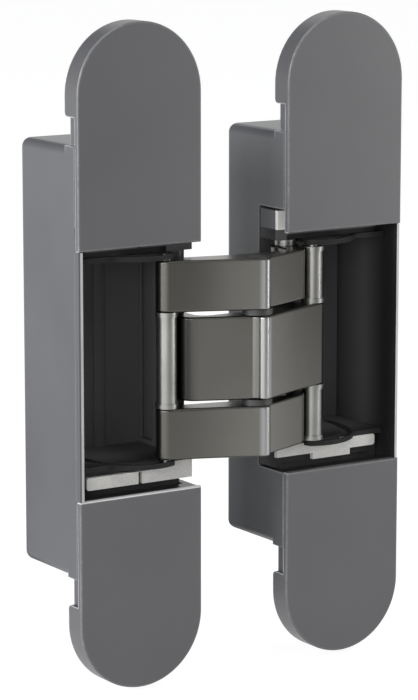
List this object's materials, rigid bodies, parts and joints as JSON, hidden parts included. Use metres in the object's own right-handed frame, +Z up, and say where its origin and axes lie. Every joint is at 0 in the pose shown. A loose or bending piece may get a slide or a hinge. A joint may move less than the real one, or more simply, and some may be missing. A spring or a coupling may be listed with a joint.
{
  "type": "concealed door hinge",
  "caption": "Concealed door hinge opened flat: two slim rounded dark grey bodies with clip-on caps, joined by dark nickel scissor links on steel pins.",
  "frame": {"origin": "middle of the frame-side body on the back of its flange, at the centre of its four fixing screws", "axes": "+X from the frame-side body to the door-side body, +Y into the wood, +Z up along the hinge"},
  "size_m": [0.082, 0.0331, 0.1414],
  "materials": {
    "cap_coat": "powder-coated dark grey, even satin",
    "housing_coat": "powder-coated dark grey casting, satin",
    "carriage_black": "black-coated die casting, satin",
    "link_nickel": "dark nickel-plated casting, satin",
    "zinc_plate": "bright zinc-plated sheet",
    "pin_steel": "ground steel",
    "washer_plastic": "black slide-bearing plastic"
  },
  "bodies": {
    "frame": {"frame_housing": "housing_coat", "frame_upper_cap": "cap_coat", "frame_lower_cap": "cap_coat"},
    "frame_carriage": {"frame_carriage": "carriage_black", "frame_upper_plate": "zinc_plate", "frame_lower_plate": "zinc_plate", "frame_setting_screws": "zinc_plate", "frame_pivot_pin": "pin_steel", "frame_pivot_bushes": "washer_plastic"},
    "inner_link": {"inner_link": "link_nickel", "door_slide_pin": "pin_steel", "door_slide_sleeves": "pin_steel", "door_slide_washers": "washer_plastic"},
    "outer_link": {"outer_link_upper_leaf": "link_nickel", "outer_link_lower_leaf": "link_nickel", "centre_pin": "pin_steel", "centre_washers": "washer_plastic", "frame_slide_pin": "pin_steel", "frame_slide_sleeve": "pin_steel", "frame_slide_washers": "washer_plastic"},
    "door_carriage": {"door_carriage": "carriage_black", "door_upper_plate": "zinc_plate", "door_lower_plate": "zinc_plate", "door_setting_screws": "zinc_plate", "door_pivot_pin": "pin_steel", "door_pivot_bush": "washer_plastic", "door_pivot_washers": "washer_plastic"},
    "door": {"door_housing": "housing_coat", "door_upper_cap": "cap_coat", "door_lower_cap": "cap_coat"}
  },
  "joints": [
    {"name": "height_setting", "type": "slide", "parent": "frame", "child": "frame_carriage", "axis": [0, 0, 1], "range_m": [-0.0012, 0.0018]},
    {"name": "frame_pivot", "type": "hinge", "parent": "frame_carriage", "child": "inner_link", "pos_m": [0.0117, 0.0011, -0.0008], "axis": [0, 0, -1], "range_deg": [0, 117.45]},
    {"name": "scissor_pivot", "type": "hinge", "parent": "inner_link", "child": "outer_link", "pos_m": [0.026, -0.0094, -0.0008], "axis": [0, 0, -1], "range_deg": [-54.9, 0]},
    {"name": "door_pivot", "type": "hinge", "parent": "outer_link", "child": "door_carriage", "pos_m": [0.0403, 0.0011, -0.0008], "axis": [0, 0, -1], "range_deg": [0, 117.45]},
    {"name": "depth_setting", "type": "slide", "parent": "door_carriage", "child": "door", "axis": [0, 1, 0], "range_m": [-0.0005, 0.001]}
  ],
  "couplings": [
    {"joint": "scissor_pivot", "follows": "frame_pivot", "ratio": -0.46742},
    {"joint": "door_pivot", "follows": "frame_pivot", "ratio": 1}
  ]
}
